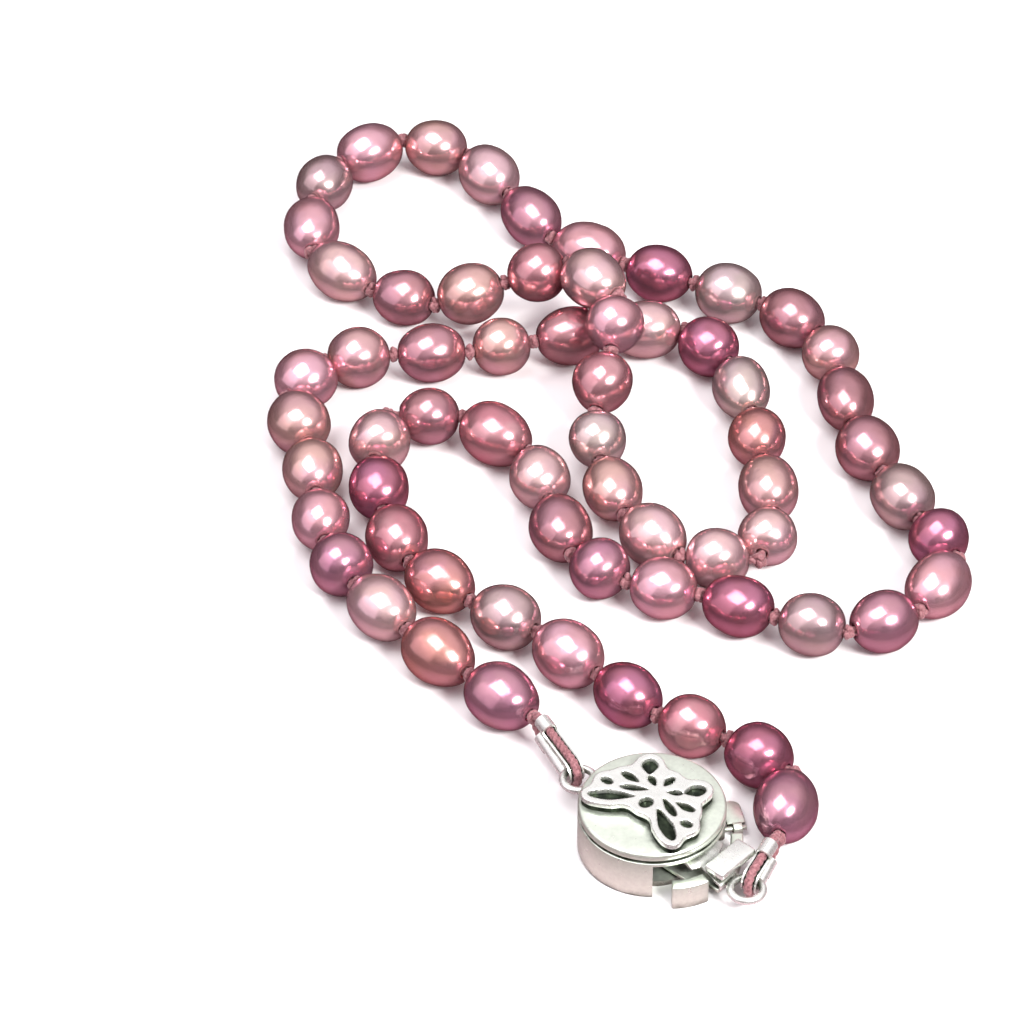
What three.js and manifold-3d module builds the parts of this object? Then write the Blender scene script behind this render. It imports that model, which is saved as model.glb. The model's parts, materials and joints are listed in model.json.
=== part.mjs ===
// A pearl necklace with a round box clasp. Millimetres, +Z up.
//
// Sixty-four drilled oval pearls are strung on one silk thread with a knot between each
// two. Each end of the thread loops through a wire guard on a ring: one ring is soldered
// to the clasp's case, the other to the tongue that slides into it. The strand lies in
// loose curves on a table and crosses over itself once.

import * as THREE from 'three';
import { mergeVertices } from 'three/addons/utils/BufferGeometryUtils.js';
import Module from 'manifold-3d';

const wasm = await Module();
wasm.setup();

// ---- Driving sizes -----------------------------------------------------------------

const GAP = 0.3;                    // room between pieces that touch on the real one

const STRAND_HEIGHT = 3.1;            // thread height above the table
const KNOT_ROOM = 0.36;             // from the middle of a knot to each pearl beside it
const PEARL_END_RADIUS = 2.3;       // how round a pearl's ends are
const THREAD_RADIUS = 0.38;
const BORE_RADIUS = 0.75;
const KNOT_SLEEVE_RADIUS = 1.3;     // on a straight thread; larger round a bend

const CASE_CENTRE = new THREE.Vector2(12.4, -45.3);
const CLASP_TURN = THREE.MathUtils.degToRad(-42.5);  // case ring to tongue ring
const CASE_RADIUS = 6.6;
const CASE_WALL = 1.2;
const CASE_HEIGHT = 4.2;
const CASE_FLOOR = 0.6;
const NOTCH_HALF_ANGLE = THREE.MathUtils.degToRad(48);
const NOTCH_TOP = 3.9;
const LID_THICKNESS = 0.8;
const LID_BASE = CASE_HEIGHT + GAP;
const LID_TOP = LID_BASE + LID_THICKNESS;

const RING_RADIUS = 1.45;           // to the middle of the wire
const RING_WIRE = 0.35;
const CASE_RING_HEIGHT = 2.5;
const TONGUE_RING_HEIGHT = 2.05;
const CASE_RING_REACH = CASE_RADIUS + GAP + RING_WIRE + RING_RADIUS;

const LOOP_RADIUS = 1.3;            // thread's turn round the ring wire
const GUARD_OUTER = 0.75;
const GUARD_INNER = 0.56;
const LEG_RISE = 0.9;               // each leg's distance from the knot's height

const TONGUE_PULL = 2;              // how far out of the case the tongue rests
const TONGUE_RING_REACH = 9.1;      // from the case centre with the tongue home
const BLOCK_HEIGHT = 2.6;
const BLOCK_GAP_ANGLE = THREE.MathUtils.degToRad(16);
const BLOCK_END_ANGLE = THREE.MathUtils.degToRad(46);
const LEAF_THICKNESS = 0.35;
const LEAF_WIDTH = 4.2;
const NECK_WIDTH = 2.4;
const FOLD = new THREE.Vector2(6.6, 1.6);            // leaf's hinge line, x and z
const LEAF_TIP = new THREE.Vector2(2.4, 3.35);

// ---- The strand's route ------------------------------------------------------------

// From the case's knot to the tongue's knot: x, y and, where it isn't flat, height.
const ROUTE = [
  [2, -32], [-9.5, -20.5], [-17.5, -8.5], [-19.5, 6], [-22, 13], [-19, 19],
  [-4.5, 20.5], [9, 24], [16.5, 24.5], [21.5, 19], [24, 5], [24, -10],
  [16, -10], [10.5, -3.5], [8, 9, 4.2], [10.5, 22, 9], [5, 29, 7.8], [-7.5, 28],
  [-20.5, 37], [-18, 51.5], [-11.5, 55.5], [-4.5, 53], [4.5, 38.5], [18.5, 31.5],
  [30.5, 24], [33, 9.5], [38.5, -4], [42, -10], [38, -17.5], [31.5, -20.5],
  [18, -15.5], [6.5, -11], [1.5, 5.5], [-4.5, 10.5], [-12.5, 10.5], [-9.5, -11],
  [2.5, -20.5], [13, -31.5], [25, -38.5], [23.5, -47.5],
];
const ROUTE_STEPS = 40;             // samples between two route points

// One letter for each pearl, from the case to the tongue.
const PITCHES = 'dedabccbbcacdbdbdbcdcabaebcbeebdcdeecccadccaecbcbadceccccdcdcbce';
const WIDTHS = 'wwmwnmwwwmmmmmnnmnmmnnmmmmwnmnnwmmnmmwmnnwmmmmmmmmmmwnwmmmmwmmwm';
const COLOURS = 'oklopccpcmcmldskclllcsrplrcmlpgpclopdsmcmmgdpogdpomlrmldrkgpdrdo';

const PITCH_OF = { a: 6.5, b: 7, c: 7.5, d: 8, e: 8.5 };
const WIDTH_OF = { n: 5.6, m: 5.85, w: 6.1 };
const COLOUR_OF = {
  c: 0xd2aea0,      // champagne
  d: 0xa84c62,      // deep rose
  g: 0xb59aa6,      // grey mauve
  k: 0xc77a6e,      // coral
  l: 0xc79ab5,      // lilac
  m: 0xa56c80,      // mauve
  o: 0xb06a9a,      // orchid
  p: 0xd9a0ad,      // pink
  r: 0xc4737f,      // rose
  s: 0xd8cfd0,      // silver
};

// Pearls that share a solid with the next one and the knot between them: all the strand
// up to FIRST_FOLLOWER, apart from the single ones, which turn on the thread.
const FIRST_FOLLOWER = 56;          // from here each pearl follows the tongue
const PEARL_COUNT = PITCHES.length;
const GROUP_SIZE = 5;               // one single pearl, then two pairs

// ---- Small helpers -----------------------------------------------------------------

const necklace = new THREE.Group();
necklace.name = 'pearl_necklace';

const SILVER = { color: 0xd8d6cd, roughness: 0.28, metalness: 1 };
const BRIGHT_SILVER = { color: 0xe6e4dc, roughness: 0.18, metalness: 1 };
const OXIDISED = { color: 0x2f352c, roughness: 0.6, metalness: 0.7 };
const SILK = { color: 0xc48a8c, roughness: 0.75, metalness: 0 };
const NACRE = { roughness: 0.22, metalness: 0.35 };

function addPiece(parent, name, geometry, finish) {
  const mesh = new THREE.Mesh(geometry, new THREE.MeshStandardMaterial(finish));
  mesh.name = name;
  parent.add(mesh);
  return mesh;
}

function toSolid(geometry) {
  const bare = geometry.index ? geometry.clone() : geometry;
  bare.deleteAttribute('normal');
  bare.deleteAttribute('uv');
  const merged = mergeVertices(bare, 1e-4);
  return new wasm.Manifold(new wasm.Mesh({
    numProp: 3,
    vertProperties: new Float32Array(merged.attributes.position.array),
    triVerts: new Uint32Array(merged.index.array),
  }));
}

function toGeometry(solid) {
  const mesh = solid.getMesh();
  const geometry = new THREE.BufferGeometry();
  geometry.setAttribute('position', new THREE.BufferAttribute(mesh.vertProperties, 3));
  geometry.setIndex(new THREE.BufferAttribute(mesh.triVerts, 1));
  geometry.computeVertexNormals();
  return geometry;
}

function join(geometries) {
  return geometries.map(toSolid).reduce((whole, part) => whole.add(part));
}

function cut(solid, geometries) {
  return geometries.map(toSolid).reduce((whole, part) => whole.subtract(part), solid);
}

function polygon(points) {
  return new THREE.Shape(points.map(([x, y]) => new THREE.Vector2(x, y)));
}

function circleSection(radius, sides) {
  const corners = [];
  for (let i = 0; i < sides; i += 1) {
    const angle = (2 * Math.PI * i) / sides;
    corners.push([radius * Math.cos(angle), radius * Math.sin(angle)]);
  }
  return polygon(corners);
}

function slab(shape, bottom, top, curveSegments = 12) {
  const geometry = new THREE.ExtrudeGeometry(shape, {
    depth: top - bottom,
    bevelEnabled: false,
    curveSegments,
  });
  return geometry.translate(0, 0, bottom);
}

// A path that puts a ring of the tube at each of its points, and nowhere else.
class ThreadPath extends THREE.Curve {
  constructor(points) {
    super();
    this.points = points;
  }

  getPoint(t, target = new THREE.Vector3()) {
    const place = t * (this.points.length - 1);
    const i = Math.min(Math.floor(place), this.points.length - 2);
    return target.lerpVectors(this.points[i], this.points[i + 1], place - i);
  }

  getPointAt(u, target) {
    return this.getPoint(u, target);
  }

  getTangentAt(u, target = new THREE.Vector3()) {
    const last = this.points.length - 1;
    const i = Math.round(u * last);
    const before = this.points[Math.max(i - 1, 0)];
    const after = this.points[Math.min(i + 1, last)];
    return target.subVectors(after, before).normalize();
  }
}

function tube(points, radius, sides = 8) {
  return new THREE.ExtrudeGeometry(circleSection(radius, sides), {
    steps: points.length - 1,
    bevelEnabled: false,
    extrudePath: new ThreadPath(points),
  });
}

// ---- Knots along the route ---------------------------------------------------------

function sampleRoute() {
  const points = ROUTE.map(([x, y, z = STRAND_HEIGHT]) => new THREE.Vector3(x, y, z));
  const curve = new THREE.CatmullRomCurve3(points, false, 'centripetal');
  return curve.getPoints((points.length - 1) * ROUTE_STEPS);
}

// Walks the route and leaves a knot before the first pearl and after each pearl.
function placeKnots() {
  const samples = sampleRoute();
  const reach = [0];
  for (let i = 1; i < samples.length; i += 1) {
    reach.push(reach[i - 1] + samples[i].distanceTo(samples[i - 1]));
  }
  const pitches = [...PITCHES].map((letter) => PITCH_OF[letter]);
  const total = pitches.reduce((sum, pitch) => sum + pitch, 0);
  const stretch = reach[reach.length - 1] / total;
  const found = [samples[0].clone()];
  let walked = 0;
  let i = 1;
  for (const pitch of pitches) {
    walked += pitch * stretch;
    while (i < samples.length - 1 && reach[i] < walked) i += 1;
    const share = (walked - reach[i - 1]) / (reach[i] - reach[i - 1]);
    found.push(new THREE.Vector3().lerpVectors(samples[i - 1], samples[i], Math.min(share, 1)));
  }
  return found;
}

const knots = placeKnots();

// ---- Pearls ------------------------------------------------------------------------

const PEARL_SIDES = 9;
const PEARL_RINGS = 6;
const DRILL_SIDES = 6;

// Half an oval's outline, from its lower to its upper end, opened to the given radius.
function ovalProfile(length, width, endRadius) {
  const endAngle = Math.acos(Math.min(endRadius / (width / 2), 1));
  const profile = [];
  for (let i = 0; i < PEARL_RINGS; i += 1) {
    const angle = endAngle * ((2 * i) / (PEARL_RINGS - 1) - 1);
    const y = (Math.sin(angle) * length) / 2;
    profile.push(new THREE.Vector2((Math.cos(angle) * width) / 2, y));
  }
  return profile;
}

function boredOval(length, width) {
  const profile = ovalProfile(length, width, BORE_RADIUS);
  profile.push(profile[0].clone());
  return new THREE.LatheGeometry(profile, PEARL_SIDES);
}

function solidOval(length, width) {
  const profile = ovalProfile(length, width, BORE_RADIUS / 2);
  const end = new THREE.Vector2(0, profile[PEARL_RINGS - 1].y);
  const start = new THREE.Vector2(0, profile[0].y);
  return new THREE.LatheGeometry([start, ...profile, end], PEARL_SIDES);
}

// Two pearls' round ends stay apart where the thread bends sharply at their knot.
function knotRoom(index) {
  if (index === 0 || index === PEARL_COUNT) return KNOT_ROOM;
  const before = new THREE.Vector3().subVectors(knots[index], knots[index - 1]);
  const after = new THREE.Vector3().subVectors(knots[index + 1], knots[index]);
  const halfBend = before.angleTo(after) / 2;
  const bentRoom = (PEARL_END_RADIUS + GAP / 2) / Math.cos(halfBend) - PEARL_END_RADIUS;
  return Math.max(KNOT_ROOM, bentRoom);
}

function pearlPlace(number) {
  const along = new THREE.Vector3().subVectors(knots[number], knots[number - 1]).normalize();
  const start = knots[number - 1].clone().addScaledVector(along, knotRoom(number - 1));
  const end = knots[number].clone().addScaledVector(along, -knotRoom(number));
  return {
    centre: new THREE.Vector3().addVectors(start, end).multiplyScalar(0.5),
    turn: new THREE.Quaternion().setFromUnitVectors(new THREE.Vector3(0, 1, 0), along),
    length: start.distanceTo(end),
    width: WIDTH_OF[WIDTHS[number - 1]],
  };
}

function pearlFinish(number) {
  return { color: COLOUR_OF[COLOURS[number - 1]], ...NACRE };
}

function twoDigits(number) {
  return String(number).padStart(2, '0');
}

function addPearl(number) {
  const { centre, turn, length, width } = pearlPlace(number);
  const name = `pearl_${twoDigits(number)}`;
  const mesh = addPiece(necklace, name, boredOval(length, width), pearlFinish(number));
  mesh.position.copy(centre);
  mesh.quaternion.copy(turn);
}

function placedOval(number) {
  const { centre, turn, length, width } = pearlPlace(number);
  return solidOval(length, width).applyQuaternion(turn).translate(...centre);
}

// Two pearls joined by the knot between them, drilled through.
function addPair(number) {
  const knot = knots[number];
  const sleeveRadius = KNOT_SLEEVE_RADIUS + knotRoom(number) - KNOT_ROOM;
  const sleeve = new THREE.OctahedronGeometry(sleeveRadius, 1).translate(...knot);
  const before = knots[number - 1];
  const after = knots[number + 1];
  const drill = [
    before.clone().lerp(knot, -0.1),
    knot,
    after.clone().lerp(knot, -0.1),
  ];
  const body = join([placedOval(number), placedOval(number + 1), sleeve]);
  const solid = cut(body, [tube(drill, BORE_RADIUS, DRILL_SIDES)]);
  const name = `pearls_${twoDigits(number)}_${twoDigits(number + 1)}`;
  addPiece(necklace, name, toGeometry(solid), pearlFinish(number));
}

function addStrand() {
  for (let first = 1; first < FIRST_FOLLOWER; first += GROUP_SIZE) {
    addPearl(first);
    addPair(first + 1);
    addPair(first + 3);
  }
  for (let number = FIRST_FOLLOWER; number <= PEARL_COUNT; number += 1) addPearl(number);
}

addStrand();

// ---- Thread loops through the clasp's rings ----------------------------------------

function claspPoint(x, y, z) {
  const place = new THREE.Vector2(x, y).rotateAround(new THREE.Vector2(), CLASP_TURN);
  return new THREE.Vector3(place.x + CASE_CENTRE.x, place.y + CASE_CENTRE.y, z);
}

// The loop lies in the upright plane through the knot and the ring's centre. A point of
// it is given by its distance from the ring wire toward the knot, and its height.
function loopPlane(knot, ringCentre) {
  const toKnot = new THREE.Vector3().subVectors(knot, ringCentre).setZ(0);
  const reach = toKnot.length() - RING_RADIUS;
  const direction = toKnot.normalize();
  const wire = ringCentre.clone().addScaledVector(direction, RING_RADIUS);
  const at = (distance, height) => wire.clone().addScaledVector(direction, distance).setZ(height);
  return { reach, at };
}

// From the upper leg's end, round the wire and back along the lower leg. The legs run
// toward the knot, so a shorter leg lies along a longer one.
function loopPoints(knot, ringCentre, legLength, offset = 0) {
  const { reach, at } = loopPlane(knot, ringCentre);
  const height = ringCentre.z;
  const radius = LOOP_RADIUS + offset;
  const share = legLength / reach;
  const legEnd = (side) => {
    const start = height + side * radius;
    const end = knot.z + side * (LEG_RISE + offset);
    return at(legLength, start + (end - start) * share);
  };
  const points = [legEnd(1)];
  for (let degrees = 90; degrees <= 270; degrees += 30) {
    const angle = THREE.MathUtils.degToRad(degrees);
    points.push(at(radius * Math.cos(angle), height + radius * Math.sin(angle)));
  }
  points.push(legEnd(-1));
  return points;
}

const GUARD_STOP = 1.5;             // guard's end to the middle of the knot
const WINDOW_STOP = 3.2;            // open side's end to the middle of the knot

function threadLoop(knot, ringCentre) {
  const { reach } = loopPlane(knot, ringCentre);
  return loopPoints(knot, ringCentre, reach - GUARD_STOP + GAP);
}

// A bent tube round the thread, with its outer side open round the ring.
function guardGeometry(knot, ringCentre) {
  const { reach } = loopPlane(knot, ringCentre);
  const shell = tube(loopPoints(knot, ringCentre, reach - GUARD_STOP), GUARD_OUTER);
  const hollow = tube(loopPoints(knot, ringCentre, reach), GUARD_INNER);
  const window = tube(loopPoints(knot, ringCentre, reach - WINDOW_STOP, 0.5), GUARD_INNER);
  return toGeometry(cut(toSolid(shell), [hollow, window]));
}

const caseRingCentre = claspPoint(-CASE_RING_REACH, 0, CASE_RING_HEIGHT);
const tongueRingCentre = claspPoint(TONGUE_RING_REACH + TONGUE_PULL, 0, TONGUE_RING_HEIGHT);
const caseKnot = knots[0];
const tongueKnot = knots[PEARL_COUNT];

// ---- Silk thread -------------------------------------------------------------------

function shortened(points, startRoom, endRoom) {
  const trimmed = points.map((point) => point.clone());
  const last = trimmed.length - 1;
  const start = points[1].clone().sub(points[0]).setLength(startRoom);
  const end = points[last - 1].clone().sub(points[last]).setLength(endRoom);
  trimmed[0].add(start);
  trimmed[last].add(end);
  return trimmed;
}

function addThread() {
  const still = FIRST_FOLLOWER - 1;
  const last = PEARL_COUNT - 1;
  const main = [...threadLoop(caseKnot, caseRingCentre), ...knots.slice(0, still + 1)];
  const follower = knots.slice(still, last + 1);
  const end = [...threadLoop(tongueKnot, tongueRingCentre), ...knots.slice(last).reverse()];
  addPiece(necklace, 'silk_main', tube(shortened(main, 0, GAP / 2), THREAD_RADIUS), SILK);
  const run = shortened(follower, GAP / 2, GAP / 2);
  addPiece(necklace, 'silk_follower', tube(run, THREAD_RADIUS), SILK);
  addPiece(necklace, 'silk_tongue', tube(shortened(end, 0, GAP / 2), THREAD_RADIUS), SILK);
}

addThread();

addPiece(necklace, 'guard_case', guardGeometry(caseKnot, caseRingCentre), BRIGHT_SILVER);
addPiece(necklace, 'guard_tongue', guardGeometry(tongueKnot, tongueRingCentre), BRIGHT_SILVER);

// ---- Clasp case --------------------------------------------------------------------

const clasp = new THREE.Group();
clasp.position.set(CASE_CENTRE.x, CASE_CENTRE.y, 0);
clasp.rotation.z = CLASP_TURN;
necklace.add(clasp);

const ROUND = 40;                   // sides of the case and lid

// A sector of a flat ring, centred on the angle 0 unless start and end say otherwise.
function ringSector(inner, outer, start, end) {
  const shape = new THREE.Shape();
  shape.absarc(0, 0, outer, start, end, false);
  shape.absarc(0, 0, inner, end, start, true);
  shape.closePath();
  return shape;
}

function addCase() {
  const inside = CASE_RADIUS - CASE_WALL;
  const edge = 0.3;
  const body = new THREE.LatheGeometry([
    new THREE.Vector2(0, 0),
    new THREE.Vector2(CASE_RADIUS - edge, 0),
    new THREE.Vector2(CASE_RADIUS, edge),
    new THREE.Vector2(CASE_RADIUS, CASE_HEIGHT),
    new THREE.Vector2(inside, CASE_HEIGHT),
    new THREE.Vector2(inside, CASE_FLOOR),
    new THREE.Vector2(0, CASE_FLOOR),
  ], ROUND).rotateX(Math.PI / 2);
  const notchShape = ringSector(
    inside - GAP,
    CASE_RADIUS + 1,
    -NOTCH_HALF_ANGLE,
    NOTCH_HALF_ANGLE,
  );
  const notch = slab(notchShape, -1, NOTCH_TOP);
  addPiece(clasp, 'case_body', toGeometry(cut(toSolid(body), [notch])), SILVER);
}

function addLid() {
  const edge = 0.25;
  const lid = new THREE.LatheGeometry([
    new THREE.Vector2(0, LID_BASE),
    new THREE.Vector2(CASE_RADIUS - edge, LID_BASE),
    new THREE.Vector2(CASE_RADIUS, LID_BASE + edge),
    new THREE.Vector2(CASE_RADIUS, LID_TOP - 1.3 * edge),
    new THREE.Vector2(CASE_RADIUS - edge, LID_TOP - 0.3 * edge),
    new THREE.Vector2(CASE_RADIUS - 3 * edge, LID_TOP),
    new THREE.Vector2(0, LID_TOP),
  ], ROUND).rotateX(Math.PI / 2);
  addPiece(clasp, 'case_lid', lid, SILVER);
}

function addRing(parent, name, x, z) {
  const ring = new THREE.TorusGeometry(RING_RADIUS, RING_WIRE, 6, 16);
  addPiece(parent, name, ring, BRIGHT_SILVER).position.set(x, 0, z);
}

addCase();
addLid();
addRing(clasp, 'case_ring', -CASE_RING_REACH, CASE_RING_HEIGHT);

// ---- Butterfly on the lid ----------------------------------------------------------

// Openings: middle (across, up), length, width, and the way the narrow end points. The
// butterfly is the same on both sides, so `across` is used with both signs.
const WING_OPENINGS = [
  { at: [3.0, -2.85], length: 4.1, width: 1.25, toward: 146 },
  { at: [1.95, -0.9], length: 2.5, width: 0.7, toward: 152 },
  { at: [3.05, 0], length: 1.9, width: 0.8, toward: 183 },
  { at: [4.4, -1.65], length: 1.15, width: 0.8, toward: 180, round: true },
  { at: [1.25, 0.85], length: 1.4, width: 0.65, toward: 212 },
  { at: [2.5, 2.15], length: 2.0, width: 1.45, toward: 235 },
];
const BODY_OPENINGS = [
  { at: [0, 1.65], length: 1.4, width: 0.75, toward: 270 },
  { at: [0, -1.7], length: 1.4, width: 1.15, toward: 90, round: true },
];
const BUTTERFLY_RIM = 0.65;         // metal round each opening
const BUTTERFLY_TURN = THREE.MathUtils.degToRad(4);
const BUTTERFLY_PLACE = [0.12, 0.58];
const BACKING_THICKNESS = 0.25;
const PLATE_THICKNESS = 0.35;

// A teardrop or oval outline, grown on every side by `rim`.
function openingOutline({ at, length, width, toward, round }, mirror, rim) {
  const direction = THREE.MathUtils.degToRad(mirror > 0 ? toward : 180 - toward);
  const sides = 10;
  const points = [];
  for (let i = 0; i < sides; i += 1) {
    const angle = (2 * Math.PI * i) / sides;
    const along = Math.cos(angle) * (length / 2 + rim);
    const slim = round ? 1 : 1 - 0.55 * Math.max(Math.cos(angle), 0);
    const across = Math.sin(angle) * ((width / 2) * slim + rim);
    points.push([
      at[0] * mirror + along * Math.cos(direction) - across * Math.sin(direction),
      at[1] + along * Math.sin(direction) + across * Math.cos(direction),
    ]);
  }
  return polygon(points);
}

function openingSlabs(rim, bottom, top) {
  const slabs = [];
  for (const opening of WING_OPENINGS) {
    slabs.push(slab(openingOutline(opening, 1, rim), bottom, top));
    slabs.push(slab(openingOutline(opening, -1, rim), bottom, top));
  }
  for (const opening of BODY_OPENINGS) {
    slabs.push(slab(openingOutline(opening, 1, rim), bottom, top));
  }
  return slabs;
}

function addButterfly() {
  const butterfly = new THREE.Group();
  butterfly.rotation.z = BUTTERFLY_TURN;
  butterfly.position.set(...BUTTERFLY_PLACE, 0);
  clasp.add(butterfly);
  const backingBase = LID_TOP + GAP;
  const backingTop = backingBase + BACKING_THICKNESS;
  const backing = join(openingSlabs(BUTTERFLY_RIM, backingBase, backingTop));
  addPiece(butterfly, 'butterfly_backing', toGeometry(backing), OXIDISED);
  const plateBase = backingTop + GAP;
  const plateTop = plateBase + PLATE_THICKNESS;
  const blank = join(openingSlabs(BUTTERFLY_RIM, plateBase, plateTop));
  const plate = cut(blank, openingSlabs(0, plateBase - 1, plateTop + 1));
  addPiece(butterfly, 'butterfly_plate', toGeometry(plate), BRIGHT_SILVER);
}

addButterfly();

// ---- Tongue ------------------------------------------------------------------------

const tongue = new THREE.Group();
tongue.position.x = TONGUE_PULL;
clasp.add(tongue);

// A plate that is wide inside the case and slim where it passes between the blocks.
function neckedPlate(start, shoulder, end) {
  const wide = LEAF_WIDTH / 2;
  const slim = NECK_WIDTH / 2;
  return polygon([
    [start, -wide],
    [shoulder, -wide],
    [shoulder + 0.3, -slim],
    [end, -slim],
    [end, slim],
    [shoulder + 0.3, slim],
    [shoulder, wide],
    [start, wide],
  ]);
}

function addTongueBase() {
  const bottom = CASE_FLOOR + GAP;
  const shape = neckedPlate(-1.5, 4.1, 6.9);
  addPiece(tongue, 'tongue_base', slab(shape, bottom, bottom + 0.4), SILVER);
}

function addTongueBlock(name, side) {
  const inside = CASE_RADIUS - CASE_WALL + 0.1;
  const start = side > 0 ? BLOCK_GAP_ANGLE : -BLOCK_END_ANGLE;
  const end = side > 0 ? BLOCK_END_ANGLE : -BLOCK_GAP_ANGLE;
  const shape = ringSector(inside, CASE_RADIUS, start, end);
  addPiece(tongue, name, slab(shape, 0, BLOCK_HEIGHT, 6), SILVER);
}

// The leaf rises inward from its fold, so it is laid out flat and then tilted.
function addLeaf() {
  const slope = new THREE.Vector2().subVectors(LEAF_TIP, FOLD);
  const length = slope.length();
  const shoulder = length - 1.9;
  const leaf = slab(neckedPlate(-length, -length + shoulder, 0), 0, LEAF_THICKNESS);
  const mesh = addPiece(tongue, 'tongue_leaf', leaf, BRIGHT_SILVER);
  mesh.rotation.y = Math.atan2(slope.y, -slope.x);
  mesh.position.set(FOLD.x, 0, FOLD.y);
}

function addThumbTab() {
  const width = 4.6;
  const bevel = 0.3;
  const profile = polygon([
    [-0.5, 0],
    [1.7, 0],
    [1.7, 0.8 - bevel],
    [1.7 - bevel, 0.8],
    [bevel - 0.5, 0.8],
    [-0.5, 0.8 - bevel],
  ]);
  const bar = slab(profile, -width / 2, width / 2).rotateX(Math.PI / 2);
  addPiece(tongue, 'thumb_tab', bar, BRIGHT_SILVER).position.set(5.85, 0.8, 2.95);
}

addTongueBase();
addTongueBlock('tongue_block_left', -1);
addTongueBlock('tongue_block_right', 1);
addLeaf();
addThumbTab();
addRing(tongue, 'tongue_ring', TONGUE_RING_REACH, TONGUE_RING_HEIGHT);

// ---- Blank tag beside the case -----------------------------------------------------

const TAG_ANGLE = THREE.MathUtils.degToRad(53);
const TAG_HEIGHT = 0.75;
const TAG_PIN_RADIUS = 0.22;
const TAG_EYE_INNER = 0.38;
const TAG_EYE_OUTER = 0.6;
const TAG_WIDTH = 1.7;
const TAG_LENGTH = 3.4;
const TAG_REACH = CASE_RADIUS + 1.25;   // from the case centre to the tag's middle line

function addTag() {
  const tag = new THREE.Group();
  tag.rotation.z = TAG_ANGLE;
  clasp.add(tag);
  const pinStart = CASE_RADIUS + GAP;
  const pinEnd = TAG_REACH + TAG_WIDTH / 2;
  const pin = new THREE.CylinderGeometry(TAG_PIN_RADIUS, TAG_PIN_RADIUS, pinEnd - pinStart, 8);
  pin.rotateZ(Math.PI / 2);
  addPiece(tag, 'tag_pin', pin, SILVER).position.set((pinStart + pinEnd) / 2, 0, TAG_HEIGHT);

  const outline = new THREE.Shape();
  const half = TAG_WIDTH / 2;
  outline.moveTo(-half, 0);
  outline.lineTo(half, 0);
  outline.lineTo(half, TAG_LENGTH - half);
  outline.absarc(0, TAG_LENGTH - half, half, 0, Math.PI, false);
  outline.closePath();
  const plate = slab(outline, -0.15, 0.15, 8);
  const eyeLength = TAG_WIDTH * 0.5;
  const eye = slab(circleSection(TAG_EYE_OUTER, 12), -eyeLength / 2, eyeLength / 2);
  const hole = slab(circleSection(TAG_EYE_INNER, 12), -TAG_WIDTH, TAG_WIDTH);
  const body = join([plate, eye.rotateY(Math.PI / 2)]);
  const solid = cut(body, [hole.rotateY(Math.PI / 2)]);
  addPiece(tag, 'blank_tag', toGeometry(solid), SILVER).position.set(TAG_REACH, 0, TAG_HEIGHT);
}

addTag();

// ---- Stand the necklace on the origin ----------------------------------------------

necklace.updateMatrixWorld(true);
const box = new THREE.Box3().setFromObject(necklace, true);
const middle = box.getCenter(new THREE.Vector3());
necklace.position.set(-middle.x, -middle.y, -box.min.z);

export default necklace;
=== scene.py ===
# A pearl necklace with a round box clasp: its looks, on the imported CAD's frame.
#
# Sizes are in millimetres and in the strand's own layout, and become metres in the
# frame's axes in `placed`. The pearls, the silk and the silver are all built here; the
# CAD solids stay behind them for collision.

import json
import math
import random

import bmesh
import bpy
import numpy as np
from mathutils import Matrix, Vector, noise


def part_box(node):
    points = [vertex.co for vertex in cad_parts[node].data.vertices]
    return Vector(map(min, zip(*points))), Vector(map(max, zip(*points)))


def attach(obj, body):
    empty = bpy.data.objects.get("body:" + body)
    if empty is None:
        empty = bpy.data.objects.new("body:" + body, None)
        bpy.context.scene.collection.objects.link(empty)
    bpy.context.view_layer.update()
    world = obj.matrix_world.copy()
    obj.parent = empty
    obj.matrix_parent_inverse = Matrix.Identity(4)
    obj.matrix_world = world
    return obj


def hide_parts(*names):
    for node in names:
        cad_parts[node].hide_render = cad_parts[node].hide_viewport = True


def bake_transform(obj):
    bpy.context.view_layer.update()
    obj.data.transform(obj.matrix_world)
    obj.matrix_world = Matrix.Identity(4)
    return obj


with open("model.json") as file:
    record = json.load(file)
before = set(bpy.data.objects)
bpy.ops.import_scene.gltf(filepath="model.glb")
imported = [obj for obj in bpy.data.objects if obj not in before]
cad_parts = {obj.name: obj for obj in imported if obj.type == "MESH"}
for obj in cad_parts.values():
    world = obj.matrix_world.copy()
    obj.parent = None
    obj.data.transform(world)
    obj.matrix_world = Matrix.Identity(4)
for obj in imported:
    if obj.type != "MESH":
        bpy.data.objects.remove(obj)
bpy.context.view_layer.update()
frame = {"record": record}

MM = 0.001

# ---- Driving sizes, as in the CAD --------------------------------------------------

STRAND_HEIGHT = 3.1
KNOT_ROOM = 0.36
PEARL_END_RADIUS = 2.3
GAP = 0.3
THREAD_RADIUS = 0.42

CASE_CENTRE = Vector((12.4, -45.3, 0.0))
CLASP_TURN = math.radians(-42.5)
CASE_RADIUS = 6.6
CASE_WALL = 1.2
CASE_HEIGHT = 4.2
CASE_FLOOR = 0.6
NOTCH_HALF_ANGLE = math.radians(48)
NOTCH_TOP = 3.9
LID_BASE = 4.5
LID_TOP = 5.3

RING_RADIUS = 1.45
RING_WIRE = 0.35
CASE_RING_HEIGHT = 2.5
TONGUE_RING_HEIGHT = 2.05
CASE_RING_REACH = CASE_RADIUS + GAP + RING_WIRE + RING_RADIUS
TONGUE_PULL = 2.0
TONGUE_RING_REACH = 9.1

LOOP_RADIUS = 1.3
GUARD_OUTER = 0.75
GUARD_INNER = 0.56
LEG_RISE = 0.9
GUARD_STOP = 1.5
WINDOW_STOP = 3.2

# ---- The strand --------------------------------------------------------------------

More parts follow.
